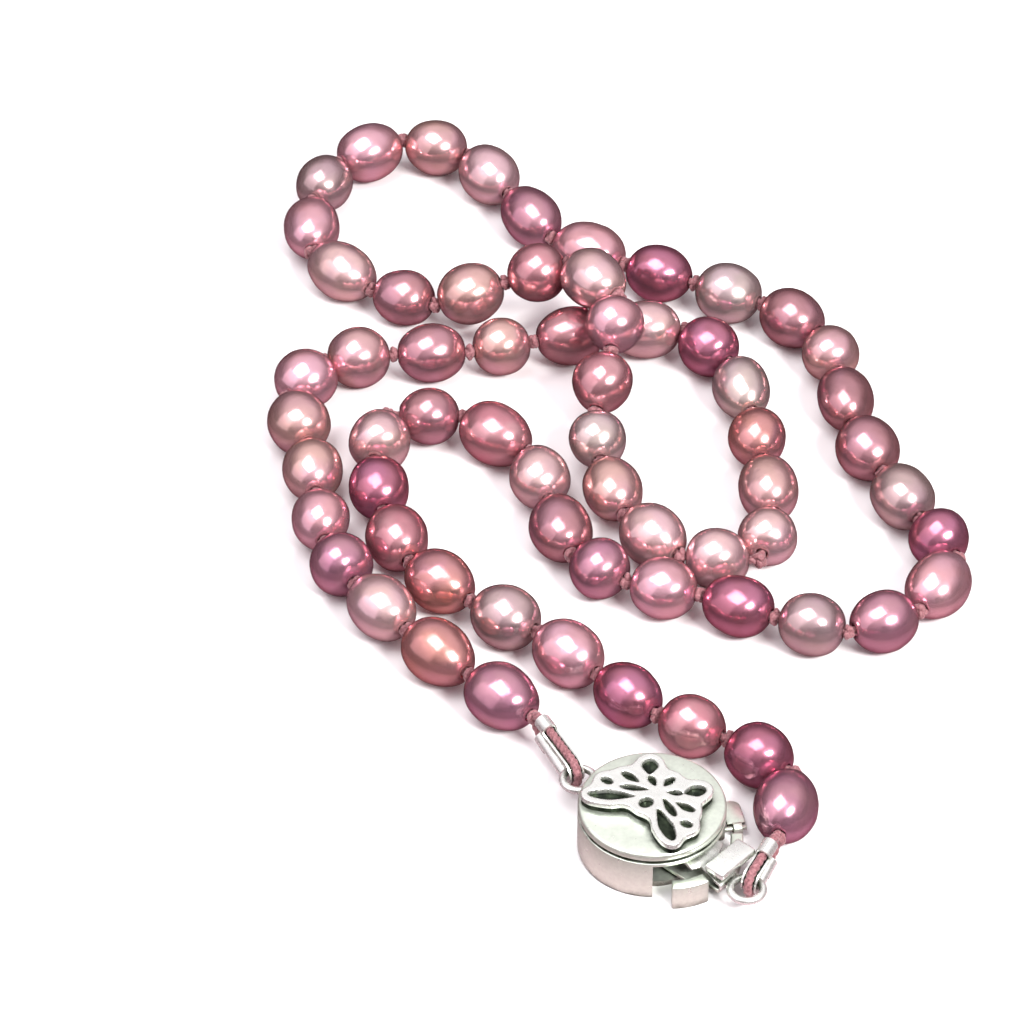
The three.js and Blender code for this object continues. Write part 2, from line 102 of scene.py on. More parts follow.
ROUTE = [
    (2, -32), (-9.5, -20.5), (-17.5, -8.5), (-19.5, 6), (-22, 13), (-19, 19),
    (-4.5, 20.5), (9, 24), (16.5, 24.5), (21.5, 19), (24, 5), (24, -10),
    (16, -10), (10.5, -3.5), (8, 9, 4.2), (10.5, 22, 9), (5, 29, 7.8), (-7.5, 28),
    (-20.5, 37), (-18, 51.5), (-11.5, 55.5), (-4.5, 53), (4.5, 38.5), (18.5, 31.5),
    (30.5, 24), (33, 9.5), (38.5, -4), (42, -10), (38, -17.5), (31.5, -20.5),
    (18, -15.5), (6.5, -11), (1.5, 5.5), (-4.5, 10.5), (-12.5, 10.5), (-9.5, -11),
    (2.5, -20.5), (13, -31.5), (25, -38.5), (23.5, -47.5),
]
ROUTE_STEPS = 40

# One letter for each pearl, from the case to the tongue.
PITCHES = "dedabccbbcacdbdbdbcdcabaebcbeebdcdeecccadccaecbcbadceccccdcdcbce"
WIDTHS = "wwmwnmwwwmmmmmnnmnmmnnmmmmwnmnnwmmnmmwmnnwmmmmmmmmmmwnwmmmmwmmwm"
COLOURS = "oklopccpcmcmldskclllcsrplrcmlpgpclopdsmcmmgdpogdpomlrmldrkgpdrdo"

PITCH_OF = {"a": 6.5, "b": 7.0, "c": 7.5, "d": 8.0, "e": 8.5}
WIDTH_OF = {"n": 5.6, "m": 5.85, "w": 6.1}
PEARL_COUNT = len(PITCHES)
FIRST_FOLLOWER = 56
GROUP_SIZE = 5

# Nacre: body colour and overtone.
NACRE = {
    "c": ("champagne", (0.76, 0.48, 0.44), (0.72, 0.42, 0.47)),
    "d": ("deep_rose", (0.47, 0.17, 0.23), (0.52, 0.20, 0.31)),
    "g": ("grey_mauve", (0.64, 0.47, 0.46), (0.58, 0.40, 0.44)),
    "k": ("coral", (0.68, 0.32, 0.28), (0.62, 0.30, 0.34)),
    "l": ("lilac", (0.80, 0.53, 0.58), (0.84, 0.57, 0.55)),
    "m": ("mauve", (0.53, 0.26, 0.28), (0.57, 0.30, 0.36)),
    "o": ("orchid", (0.58, 0.27, 0.38), (0.58, 0.30, 0.36)),
    "p": ("pink", (0.81, 0.43, 0.47), (0.78, 0.45, 0.54)),
    "r": ("rose", (0.63, 0.26, 0.31), (0.67, 0.36, 0.39)),
    "s": ("silver_white", (0.72, 0.58, 0.54), (0.66, 0.50, 0.53)),
}
EDGE_TINT = (0.20, 0.035, 0.06)     # nacre seen at a glancing angle


def layout_shift():
    """What takes the strand's layout to the frame's axes, in millimetres."""
    low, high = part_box("case_lid")
    middle = (Vector(low) + Vector(high)) / 2 / MM
    return Vector((middle.x - CASE_CENTRE.x, middle.y - CASE_CENTRE.y, 0.0))


SHIFT = layout_shift()


def placed(point):
    return (Vector(point) + SHIFT) * MM


def route_curve():
    """Centripetal spline through the route, as the CAD draws it."""
    points = [Vector((x, y, rest[0] if rest else STRAND_HEIGHT)) for x, y, *rest in ROUTE]
    points = [2 * points[0] - points[1], *points, 2 * points[-1] - points[-2]]
    curve = []
    for p0, p1, p2, p3 in zip(points, points[1:], points[2:], points[3:]):
        d0, d1, d2 = ((b - a).length ** 0.5 for a, b in ((p0, p1), (p1, p2), (p2, p3)))
        out = ((p1 - p0) / d0 - (p2 - p0) / (d0 + d1) + (p2 - p1) / d1) * d1
        into = ((p2 - p1) / d1 - (p3 - p1) / (d1 + d2) + (p3 - p2) / d2) * d1
        square = -3 * p1 + 3 * p2 - 2 * out - into
        cube = 2 * p1 - 2 * p2 + out + into
        for step in range(ROUTE_STEPS):
            t = step / ROUTE_STEPS
            curve.append(p1 + out * t + square * t * t + cube * t ** 3)
    curve.append(points[-2])
    return curve


def place_knots():
    """A knot before the first pearl and after each pearl."""
    curve = route_curve()
    reach = [0.0]
    for before, after in zip(curve, curve[1:]):
        reach.append(reach[-1] + (after - before).length)
    pitches = [PITCH_OF[letter] for letter in PITCHES]
    stretch = reach[-1] / sum(pitches)
    found = [curve[0]]
    walked = 0.0
    i = 1
    for pitch in pitches:
        walked += pitch * stretch
        while i < len(curve) - 1 and reach[i] < walked:
            i += 1
        share = (walked - reach[i - 1]) / (reach[i] - reach[i - 1])
        found.append(curve[i - 1].lerp(curve[i], min(share, 1.0)))
    return found


knots = place_knots()


def knot_room(index):
    if index in (0, PEARL_COUNT):
        return KNOT_ROOM
    before = knots[index] - knots[index - 1]
    after = knots[index + 1] - knots[index]
    half_bend = before.angle(after) / 2
    bent = (PEARL_END_RADIUS + GAP / 2) / math.cos(half_bend) - PEARL_END_RADIUS
    return max(KNOT_ROOM, bent)


def pearl_ends(number):
    along = (knots[number] - knots[number - 1]).normalized()
    start = knots[number - 1] + along * knot_room(number - 1)
    end = knots[number] - along * knot_room(number)
    return start, end


# ---- Mesh helpers ------------------------------------------------------------------


def new_piece(name, vertices, faces, material, body, slot, smooth=True):
    """A piece from points in the strand's layout, riding on a CAD body if one is named."""
    mesh = bpy.data.meshes.new(name)
    mesh.from_pydata([placed(v) for v in vertices], [], faces)
    mesh.validate()
    mesh.polygons.foreach_set("use_smooth", [smooth] * len(mesh.polygons))
    return add_piece(name, mesh, material, body, slot)


def add_piece(name, mesh, material, body, slot):
    mesh.materials.append(material)
    piece = bpy.data.objects.new(name, mesh)
    bpy.context.scene.collection.objects.link(piece)
    if body:
        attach(piece, body)
    return piece


def loft(rings, wrap=False):
    """Quads between rings of equal length, closed by a cap at each end or wrapped round."""
    sides = len(rings[0])
    vertices = [point for ring in rings for point in ring]
    spans = len(rings) if wrap else len(rings) - 1
    faces = []
    for i in range(spans):
        low = i * sides
        high = ((i + 1) % len(rings)) * sides
        for j in range(sides):
            k = (j + 1) % sides
            faces.append((low + j, low + k, high + k, high + j))
    if not wrap:
        faces.append(tuple(reversed(range(sides))))
        faces.append(tuple(range(len(vertices) - sides, len(vertices))))
    return vertices, faces


def merged(parts):
    """Several (vertices, faces) as one."""
    vertices = []
    faces = []
    for part_vertices, part_faces in parts:
        base = len(vertices)
        vertices.extend(part_vertices)
        faces.extend(tuple(base + i for i in face) for face in part_faces)
    return vertices, faces


def ring_round(centre, across, up, radii):
    """Points round a centre, in the plane of two unit vectors."""
    count = len(radii)
    ring = []
    for j, radius in enumerate(radii):
        angle = 2 * math.pi * j / count
        ring.append(centre + (across * math.cos(angle) + up * math.sin(angle)) * radius)
    return ring


def tangents(points):
    last = len(points) - 1
    return [
        (points[min(i + 1, last)] - points[max(i - 1, 0)]).normalized()
        for i in range(last + 1)
    ]


def carried_frames(points):
    """A pair of unit vectors across the path at each point, carried along with no twist."""
    directions = tangents(points)
    across = directions[0].orthogonal().normalized()
    pairs = []
    for before, after in zip([directions[0], *directions], directions):
        across = before.rotation_difference(after) @ across
        across = (across - after * across.dot(after)).normalized()
        pairs.append((across, after.cross(across)))
    return pairs


PLIES = 3
PLY_PITCH = 1.9                     # length of a full turn of the twist


def twisted_tube(points, radius, sides=21):
    """A tube whose surface shows the plies of a twisted thread."""
    rings = []
    walked = 0.0
    previous = points[0]
    for point, (across, up) in zip(points, carried_frames(points)):
        walked += (point - previous).length
        previous = point
        turn = 2 * math.pi * walked / PLY_PITCH
        radii = []
        for j in range(sides):
            angle = 2 * math.pi * j / sides
            ridge = abs(math.cos(PLIES * (angle - turn) / 2))
            radii.append(radius * (0.56 + 0.44 * math.sqrt(ridge)))
        rings.append(ring_round(point, across, up, radii))
    return loft(rings)


# ---- Materials ---------------------------------------------------------------------


class Nodes:
    """Short ways to add and link a material's nodes."""

    def __init__(self, name):
        self.material = bpy.data.materials.new(name)
        self.material.use_nodes = True
        self.tree = self.material.node_tree
        self.shader = self.tree.nodes["Principled BSDF"]
        self.place = self.add("ShaderNodeTexCoord").outputs["Object"]

    def add(self, kind, **settings):
        node = self.tree.nodes.new(kind)
        for key, value in settings.items():
            setattr(node, key, value)
        return node

    def link(self, output, socket):
        self.tree.links.new(output, socket)

    def set(self, **values):
        for key, value in values.items():
            self.shader.inputs[key.replace("_", " ")].default_value = value

    def noise(self, scale, detail=2.0, roughness=0.5, distortion=0.0):
        node = self.add("ShaderNodeTexNoise")
        node.inputs["Scale"].default_value = scale
        node.inputs["Detail"].default_value = detail
        node.inputs["Roughness"].default_value = roughness
        node.inputs["Distortion"].default_value = distortion
        self.link(self.place, node.inputs["Vector"])
        return node.outputs["Fac"]

    def cells(self, scale):
        node = self.add("ShaderNodeTexVoronoi")
        node.inputs["Scale"].default_value = scale
        self.link(self.place, node.inputs["Vector"])
        return node.outputs["Distance"]

    def ramp(self, value, low, high, start=0.0, end=1.0):
        """Values or colours from low to high as `value` goes from start to end."""
        node = self.add("ShaderNodeMapRange")
        node.inputs["From Min"].default_value = start
        node.inputs["From Max"].default_value = end
        node.inputs["To Min"].default_value = low
        node.inputs["To Max"].default_value = high
        self.link(value, node.inputs["Value"])
        return node.outputs["Result"]

    def mix(self, amount, first, second):
        """Mixes two colours, each a tuple or another node's output."""
        node = self.add("ShaderNodeMix", data_type="RGBA")
        self.link(amount, node.inputs["Factor"])
        for colour, socket in ((first, node.inputs["A"]), (second, node.inputs["B"])):
            if isinstance(colour, tuple):
                socket.default_value = (*colour, 1.0)
            else:
                self.link(colour, socket)
        return node.outputs["Result"]

    def bump(self, height, strength, distance, under=None):
        node = self.add("ShaderNodeBump")
        node.inputs["Strength"].default_value = strength
        node.inputs["Distance"].default_value = distance
        self.link(height, node.inputs["Height"])
        if under is not None:
            self.link(under, node.inputs["Normal"])
        self.link(node.outputs["Normal"], self.shader.inputs["Normal"])
        return node.outputs["Normal"]

    def paint(self, colour):
        self.link(colour, self.shader.inputs["Base Color"])

    def rough(self, value):
        self.link(value, self.shader.inputs["Roughness"])


def nacre(letter):
    """Metallic freshwater nacre: soft patches of overtone, a clear skin, a few pits."""
    name, body, overtone = NACRE[letter]
    nodes = Nodes(f"nacre_{name}")
    nodes.set(Metallic=0.86, Coat_Weight=0.18, Coat_Roughness=0.14, Coat_IOR=1.45)
    nodes.set(Specular_Tint=(*EDGE_TINT, 1.0))
    shade = tuple(channel * 0.72 for channel in body)
    patches = nodes.ramp(nodes.noise(210, 1.5, distortion=0.6), 0.0, 1.0, 0.35, 0.65)
    clouds = nodes.ramp(nodes.noise(330, 2.0), 0.0, 0.6, 0.48, 0.72)
    colour = nodes.mix(patches, body, overtone)
    nodes.paint(nodes.mix(clouds, colour, shade))
    nodes.rough(nodes.ramp(nodes.noise(900, 3.0), 0.16, 0.25, 0.3, 0.7))
    skin = nodes.bump(nodes.noise(700, 2.0), 0.12, 0.0003)
    pits = nodes.ramp(nodes.cells(260), 0.0, 1.0, 0.03, 0.09)
    nodes.bump(pits, 0.2, 0.00005, under=skin)
    return nodes.material


def silk():
    nodes = Nodes("twisted_silk")
    nodes.set(Sheen_Weight=0.35, Sheen_Roughness=0.4, Specular_IOR_Level=0.35)
    nodes.set(Sheen_Tint=(1.0, 0.86, 0.88, 1.0))
    fibres = nodes.noise(5200, 3.0)
    tone = nodes.ramp(fibres, 0.0, 1.0, 0.3, 0.7)
    nodes.paint(nodes.mix(tone, (0.13, 0.042, 0.05), (0.36, 0.16, 0.175)))
    nodes.rough(nodes.ramp(fibres, 0.45, 0.7))
    nodes.bump(fibres, 0.5, 0.00006)
    return nodes.material


def silver(name, bright, tarnish, rough):
    """Silver with darker metal in its corners and a scatter of fine marks."""
    nodes = Nodes(name)
    nodes.set(Metallic=0.84)
    corner = nodes.add("ShaderNodeAmbientOcclusion", samples=8)
    corner.inputs["Distance"].default_value = 0.0012
    stain = nodes.ramp(nodes.noise(900, 4.0), 0.25, 1.05, 0.3, 0.75)
    open_air = nodes.add("ShaderNodeMath", operation="POWER")
    nodes.link(corner.outputs["AO"], open_air.inputs[0])
    nodes.link(stain, open_air.inputs[1])
    clear = nodes.ramp(open_air.outputs[0], 0.0, 1.0, 0.45, 0.92)
    tone = nodes.mix(nodes.ramp(nodes.noise(2600, 3.0), 0.0, 1.0, 0.35, 0.65), bright,
                     tuple(channel * 0.93 for channel in bright))
    nodes.paint(nodes.mix(clear, tarnish, tone))
    nodes.rough(nodes.ramp(nodes.noise(1500, 4.0), rough - 0.06, rough + 0.1, 0.3, 0.7))
    marks = nodes.bump(nodes.noise(2200, 5.0), 0.07, 0.00005)
    nodes.bump(nodes.noise(420, 2.0), 0.08, 0.0002, under=marks)
    return nodes.material


def oxidised():
    nodes = Nodes("oxidised_silver")
    nodes.set(Metallic=0.85)
    grains = nodes.noise(2400, 4.0)
    tone = nodes.ramp(nodes.noise(1100, 3.0), 0.0, 1.0, 0.35, 0.7)
    nodes.paint(nodes.mix(tone, (0.008, 0.012, 0.008), (0.05, 0.065, 0.042)))
    nodes.rough(nodes.ramp(grains, 0.3, 0.6, 0.3, 0.7))
    nodes.bump(grains, 0.4, 0.00008)
    return nodes.material


NACRES = {letter: nacre(letter) for letter in sorted(set(COLOURS))}
SILK = silk()
SILVER = silver("polished_silver", (0.84, 0.91, 0.80), (0.10, 0.115, 0.075), 0.33)
BRIGHT = silver("bright_silver", (0.96, 0.98, 0.94), (0.20, 0.22, 0.165), 0.27)
OXIDISED = oxidised()

# ---- Pearls ------------------------------------------------------------------------

PEARL_SIDES = 44
PEARL_RINGS = 30
DRILL_RADIUS = 0.62


def pearl_outline(length, width, fullness, skew):
    """Radius and height from one drill hole's edge to the other's."""
    outline = []
    for i in range(PEARL_RINGS):
        t = math.pi * (i / (PEARL_RINGS - 1) - 0.5)
        radius = width / 2 * math.cos(t) ** fullness * (1 + skew * math.sin(t))
        if radius > DRILL_RADIUS:
            outline.append((radius, length / 2 * math.sin(t)))
    return outline


def pearl_shape(number):
    """One oval, slightly uneven as freshwater pearls are, with a drilled hole at each end."""
    dice = random.Random(number)
    start, end = pearl_ends(number)
    axis = (end - start).normalized()
    middle = (start + end) / 2
    across = axis.orthogonal().normalized()
    up = axis.cross(across)
    width = WIDTH_OF[WIDTHS[number - 1]]
    outline = pearl_outline(
        (end - start).length, width, dice.uniform(0.86, 1.02), dice.uniform(-0.07, 0.07))
    low, high = outline[0][1], outline[-1][1]
    inner = DRILL_RADIUS * 0.9
    profile = [(inner, low + 0.9), (inner, low + 0.12), (DRILL_RADIUS, low + 0.02)]
    profile += outline
    profile += [(DRILL_RADIUS, high - 0.02), (inner, high - 0.12), (inner, high - 0.9)]
    oval = dice.uniform(-0.025, 0.025)
    oval_turn = dice.uniform(0, math.pi)
    seed = Vector((number * 7.3, number * 3.1, number * 5.7))
    rings = []
    for radius, height in profile:
        ring = []
        for j in range(PEARL_SIDES):
            angle = 2 * math.pi * j / PEARL_SIDES
            local = radius * (1 + oval * math.cos(2 * (angle - oval_turn)))
            offset = (across * math.cos(angle) + up * math.sin(angle)) * local
            point = offset + axis * height
            if radius > DRILL_RADIUS:
                wave = 0.11 * noise.noise(point * 0.3 + seed) + 0.03 * noise.noise(point * 0.9 + seed)
                point += point.normalized() * wave * min(1.0, radius / 1.5)
            ring.append(middle + point)
        rings.append(ring)
    return loft(rings)


def body_with(node):
    """The CAD body that a node is listed under."""
    for body, nodes in frame["record"]["behaviour"]["bodies"].items():
        if node in nodes:
            return body
    raise ValueError(node)


def slot_of(node):
    """The record's material slot of a CAD node."""
    return next(p["material_slot"] for p in frame["record"]["subparts"] if p["node"] == node)


def add_pearl(number, node):
    material = NACRES[COLOURS[number - 1]]
    name = f"nacre_pearl_{number:02d}"
    shape = pearl_shape(number)
    piece = new_piece(name, *shape, material, body_with(node), slot_of(node))
    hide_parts(node)


def add_strand():
    for first in range(1, FIRST_FOLLOWER, GROUP_SIZE):
        add_pearl(first, f"pearl_{first:02d}")
        for left in (first + 1, first + 3):
            node = f"pearls_{left:02d}_{left + 1:02d}"
            add_pearl(left, node)
            add_pearl(left + 1, node)
    for number in range(FIRST_FOLLOWER, PEARL_COUNT + 1):
        add_pearl(number, f"pearl_{number:02d}")


# ---- Clasp placing -----------------------------------------------------------------

ROOT = "strand_and_case"
TONGUE = "tongue"
CLASP = Matrix.Translation(CASE_CENTRE) @ Matrix.Rotation(CLASP_TURN, 4, "Z")
PULLED = CLASP @ Matrix.Translation((TONGUE_PULL, 0, 0))


def moved(vertices, matrix):
    return [matrix @ Vector(v) for v in vertices]


# ---- Thread loops, guards and silk -------------------------------------------------


def loop_plane(knot, ring_centre):
    """The loop's way of counting: distance from the ring wire toward the knot, and height."""
    flat = Vector((knot.x - ring_centre.x, knot.y - ring_centre.y, 0))
    reach = flat.length - RING_RADIUS
    direction = flat.normalized()
    wire = ring_centre + direction * RING_RADIUS

    def at(distance, height):
        point = wire + direction * distance
        return Vector((point.x, point.y, height))

    return reach, direction, at


def loop_points(knot, ring_centre, leg_length, step=0.16):
    """From the upper leg's end, round the ring's wire and back along the lower leg."""
    reach, _, at = loop_plane(knot, ring_centre)
    corners = []
    for side in (1, -1):
        start = ring_centre.z + side * LOOP_RADIUS
        end = knot.z + side * LEG_RISE
        corners.append((at(0, start), at(leg_length, start + (end - start) * leg_length / reach)))
    (upper_near, upper_far), (lower_near, lower_far) = corners
    count = max(2, round((upper_far - upper_near).length / step))
    upper = [upper_far.lerp(upper_near, i / count) for i in range(count)]
    bend = []
    turns = 24
    for i in range(turns + 1):
        angle = math.pi / 2 + math.pi * i / turns
        height = ring_centre.z + LOOP_RADIUS * math.sin(angle)
        bend.append(at(LOOP_RADIUS * math.cos(angle), height))
    lower = [lower_near.lerp(lower_far, (i + 1) / count) for i in range(count)]
    return upper + bend + lower


def leg_into_knot(leg_end, knot):
    """The thread from a leg's end to its knot, on a gentle bend."""
    control = Vector((knot.x, knot.y, leg_end.z)).lerp(leg_end, 0.45)
    points = []
    for i in range(1, 12):
        t = i / 12
        points.append(leg_end * (1 - t) ** 2 + control * 2 * t * (1 - t) + knot * t * t)
    return points


def span_points(start, end):
    """Along one pearl: close together outside its drill hole and sparse inside it."""
    length = (end - start).length
    near = [0.09 * i for i in range(12)]
    inside = [length * share for share in (0.25, 0.4, 0.55, 0.7)]
    stations = near + inside + [length - d for d in reversed(near[1:])]
    return [start.lerp(end, station / length) for station in stations]


def strand_points(indices):
    points = []
    for before, after in zip(indices, indices[1:]):
        points.extend(span_points(knots[before], knots[after]))
    points.append(knots[indices[-1]])
    return points


KNOT_WIND = 0.52                    # half the knot's width without the thread's own
KNOT_THREAD = 0.34


def knot_shape(index):
    """An overhand knot pulled tight: a small trefoil of the twisted thread."""
    dice = random.Random(1000 + index)
    before = knots[max(index - 1, 0)]
    after = knots[min(index + 1, PEARL_COUNT)]
    axis = (after - before).normalized()
    across = axis.orthogonal().normalized()
    across = Matrix.Rotation(dice.uniform(0, 2 * math.pi), 3, axis) @ across
    up = axis.cross(across)
    squeeze = dice.uniform(0.5, 0.62)
    size = KNOT_WIND * dice.uniform(0.92, 1.08)
    points = []
    steps = 54
    for i in range(steps + 1):
        t = 2 * math.pi * i / steps
        x = (math.sin(t) + 2 * math.sin(2 * t)) / 3 * size
        y = (math.cos(t) - 2 * math.cos(2 * t)) / 3 * size
        z = -math.sin(3 * t) * size * squeeze
        points.append(knots[index] + across * x + up * z * 1.3 + axis * y * squeeze)
    return twisted_tube(points, KNOT_THREAD, 12)


CASE_RING_CENTRE = CLASP @ Vector((-CASE_RING_REACH, 0, CASE_RING_HEIGHT))
TONGUE_RING_CENTRE = PULLED @ Vector((TONGUE_RING_REACH, 0, TONGUE_RING_HEIGHT))


def loop_run(knot, ring_centre):
    """The loop's thread, from the knot out along the upper leg and back along the lower."""
    reach, _, _ = loop_plane(knot, ring_centre)
    loop = loop_points(knot, ring_centre, reach - GUARD_STOP + GAP)
    upper = list(reversed(leg_into_knot(loop[0], knot)))
    return upper + loop + leg_into_knot(loop[-1], knot)


def add_silk(name, points, knot_indices, body, node):
    tubes = [twisted_tube(points, THREAD_RADIUS)]
    tubes += [knot_shape(index) for index in knot_indices]
    piece = new_piece(name, *merged(tubes), SILK, body, "silk")
    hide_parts(node)
    return piece


def declare_cord(points):
    placed(points[0])
    sum((b - a).length for a, b in zip(points, points[1:])) * MM
    [placed(p) for p in points]


def add_thread():
    still = FIRST_FOLLOWER - 1
    last = PEARL_COUNT - 1
    main = loop_run(knots[0], CASE_RING_CENTRE) + strand_points(range(0, still + 1))
    strand = add_silk("silk_strand", main, range(0, still), ROOT, "silk_main")
    declare_cord(main)
    run = strand_points(range(still, last + 1))
    follower = add_silk("silk_by_tongue", run, range(still, last), None, "silk_follower")
    declare_cord(run)
    placed(knots[still])
    placed(knots[last])
    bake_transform(follower)
    tail = loop_run(knots[PEARL_COUNT], TONGUE_RING_CENTRE)
    tail += list(reversed(strand_points([last, PEARL_COUNT])))
    add_silk("silk_on_tongue", tail, (last, PEARL_COUNT), TONGUE, "silk_tongue")


def guard_rings(points, outward, sideways, opening):
    """Rings of a bent tube's wall, open over an angle on its outward side."""
    rings = []
    steps = 18
    half = opening / 2
    for point, out in zip(points, outward):
        arcs = []
        for radius in (GUARD_OUTER, GUARD_INNER):
            arc = []
            for j in range(steps + 1):
                angle = half + (2 * math.pi - 2 * half) * j / steps
                direction = out * math.cos(angle) + sideways * math.sin(angle)
                arc.append(point + direction * radius)
            arcs.append(arc)
        rings.append(arcs[0] + list(reversed(arcs[1])))
    return rings


def add_guard(name, knot, ring_centre, body, node):
    """A bent wire guard: a channel round the ring with a closed collar on each leg."""
    reach, direction, _ = loop_plane(knot, ring_centre)
    points = loop_points(knot, ring_centre, reach - GUARD_STOP, step=0.3)
    sideways = direction.cross(Vector((0, 0, 1)))
    outward = [sideways.cross(tangent) for tangent in tangents(points)]
    if outward[0].z < 0:
        outward = [-out for out in outward]
    collar = round((WINDOW_STOP - GUARD_STOP) / 0.3)
    parts = [
        loft(guard_rings(points, outward, sideways, math.radians(195))),
        loft(guard_rings(points[:collar], outward[:collar], sideways, 0.02)),
        loft(guard_rings(points[-collar:], outward[-collar:], sideways, 0.02)),
    ]
    piece = new_piece(name, *merged(parts), BRIGHT, body, "bright_silver")
    piece.data.set_sharp_from_angle(angle=math.radians(40))
    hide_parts(node)


def add_ring(name, centre, body, node):
    rings = []
    count = 64
    for i in range(count):
        angle = 2 * math.pi * i / count
        out = Vector((math.cos(angle), math.sin(angle), 0))
        middle = centre + out * RING_RADIUS
        rings.append(ring_round(middle, out, Vector((0, 0, 1)), [RING_WIRE] * 16))
    piece = new_piece(name, *loft(rings, wrap=True), BRIGHT, body, "bright_silver")
    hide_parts(node)


# ---- Clasp metal -------------------------------------------------------------------

ROUND = 128


def revolved(profile):
    """A solid turned about the case's axis, from (radius, height) points."""
    rings = []
    for radius, height in profile:
        ring = []
        for j in range(ROUND):
            angle = 2 * math.pi * j / ROUND
            ring.append(Vector((radius * math.cos(angle), radius * math.sin(angle), height)))
        rings.append(ring)
    return loft(rings)


def round_edge(corner, start, end, radius, steps=5):
    """A quarter round, as (radius, height) points, between two angles in degrees."""
    points = []
    for i in range(steps + 1):
        angle = math.radians(start + (end - start) * i / steps)
        points.append((corner[0] + radius * math.cos(angle), corner[1] + radius * math.sin(angle)))
    return points


def sector(inner, outer, start, end, steps=24):
    outline = []
    for i in range(steps + 1):
        angle = start + (end - start) * i / steps
        outline.append((outer * math.cos(angle), outer * math.sin(angle)))
    for i in range(steps + 1):
        angle = end + (start - end) * i / steps
        outline.append((inner * math.cos(angle), inner * math.sin(angle)))
    return outline


def prism(outline, bottom, top):
    rings = [[Vector((x, y, z)) for x, y in outline] for z in (bottom, top)]
    return loft(rings)


def rounded(shape, width, segments=3):
    """The shape with its hard edges rounded off, as a new mesh."""
    vertices, faces = shape
    mesh = bmesh.new()
    made = [mesh.verts.new(v) for v in vertices]
    for face in faces:
        mesh.faces.new([made[i] for i in face])
    bmesh.ops.recalc_face_normals(mesh, faces=mesh.faces)
    hard = [e for e in mesh.edges if len(e.link_faces) == 2 and e.calc_face_angle() > 0.5]
    bmesh.ops.bevel(
        mesh, geom=hard, offset=width, segments=segments, affect="EDGES", profile=0.5,
        clamp_overlap=True)
    mesh.verts.index_update()
    result = [v.co.copy() for v in mesh.verts], [[v.index for v in f.verts] for f in mesh.faces]
    mesh.free()
    return result


def add_metal(name, shape, matrix, material, body, slot, node):
    vertices, faces = shape
    piece = new_piece(name, moved(vertices, matrix), faces, material, body, slot)
    piece.data.set_sharp_from_angle(angle=math.radians(50))
    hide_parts(node)
    return piece


def scratch_object(shape):
    mesh = bpy.data.meshes.new("scratch")
    mesh.from_pydata(shape[0], [], shape[1])
    made = bpy.data.objects.new("scratch", mesh)
    bpy.context.scene.collection.objects.link(made)
    return made


def carved(shape, cutter):
    """The shape less the cutter, with its new edges left sharp."""
    block = scratch_object(shape)
    tool = scratch_object(cutter)
    step = block.modifiers.new("cut", "BOOLEAN")
    step.operation = "DIFFERENCE"
    step.solver = "EXACT"
    step.object = tool
    bpy.context.view_layer.update()
    mesh = block.evaluated_get(bpy.context.evaluated_depsgraph_get()).to_mesh()
    result = [v.co.copy() for v in mesh.vertices], [list(p.vertices) for p in mesh.polygons]
    for used in (block, tool):
        bpy.data.objects.remove(used)
    return result


def add_case():
    inside = CASE_RADIUS - CASE_WALL
    profile = [(0.01, 0.0)]
    profile += round_edge((CASE_RADIUS - 0.35, 0.35), -90, 0, 0.35)
    profile += round_edge((CASE_RADIUS - 0.12, CASE_HEIGHT - 0.12), 0, 90, 0.12)
    profile += [(inside, CASE_HEIGHT), (inside, CASE_FLOOR), (0.01, CASE_FLOOR)]
    outline = sector(inside - GAP, CASE_RADIUS + 1, -NOTCH_HALF_ANGLE, NOTCH_HALF_ANGLE)
    cup = carved(revolved(profile), prism(outline, -1, NOTCH_TOP))
    add_metal("clasp_case", cup, CLASP, SILVER, ROOT, "silver", "case_body")


def add_lid():
    edge = 0.3
    profile = [(0.01, LID_BASE), (CASE_RADIUS - 0.5, LID_BASE)]
    profile += round_edge((CASE_RADIUS - 0.2, LID_BASE + 0.2), -90, 0, 0.2)
    profile += round_edge((CASE_RADIUS - edge, LID_TOP - edge), 0, 90, edge)
    profile += [(CASE_RADIUS - 1.5, LID_TOP + 0.02), (0.01, LID_TOP + 0.05)]
    lid = add_metal("clasp_lid", revolved(profile), CLASP, SILVER, ROOT, "silver", "case_lid")
    neck = [(0.01, CASE_HEIGHT), (CASE_RADIUS - 0.45, CASE_HEIGHT)]
    neck += [(CASE_RADIUS - 0.45, LID_BASE + 0.1), (0.01, LID_BASE + 0.1)]
    vertices, faces = revolved(neck)
    groove = new_piece("lid_seat", moved(vertices, CLASP), faces, OXIDISED, ROOT, "silver")
    groove.data.set_sharp_from_angle(angle=math.radians(50))
    return lid


# Openings of one wing: middle (across, up), length, width, and where the narrow end points.
WING_OPENINGS = [
    ((3.0, -2.85), 4.1, 1.25, 146, False),
    ((1.95, -0.9), 2.5, 0.7, 152, False),
    ((3.05, 0.0), 1.9, 0.8, 183, False),
    ((4.4, -1.65), 1.15, 0.8, 180, True),
    ((1.25, 0.85), 1.4, 0.65, 212, False),
    ((2.5, 2.15), 2.0, 1.45, 235, False),
]
BODY_OPENINGS = [
    ((0.0, 1.65), 1.4, 0.75, 270, False),
    ((0.0, -1.7), 1.4, 1.15, 90, True),
]
BUTTERFLY_RIM = 0.65
OPENING_GROWTH = 0.03
BUTTERFLY_PLACE = (0.12, 0.58, 0)
BUTTERFLY_TURN = Matrix.Rotation(math.radians(4), 4, "Z")
BUTTERFLY = CLASP @ Matrix.Translation(BUTTERFLY_PLACE) @ BUTTERFLY_TURN
GRID_STEP = 0.07
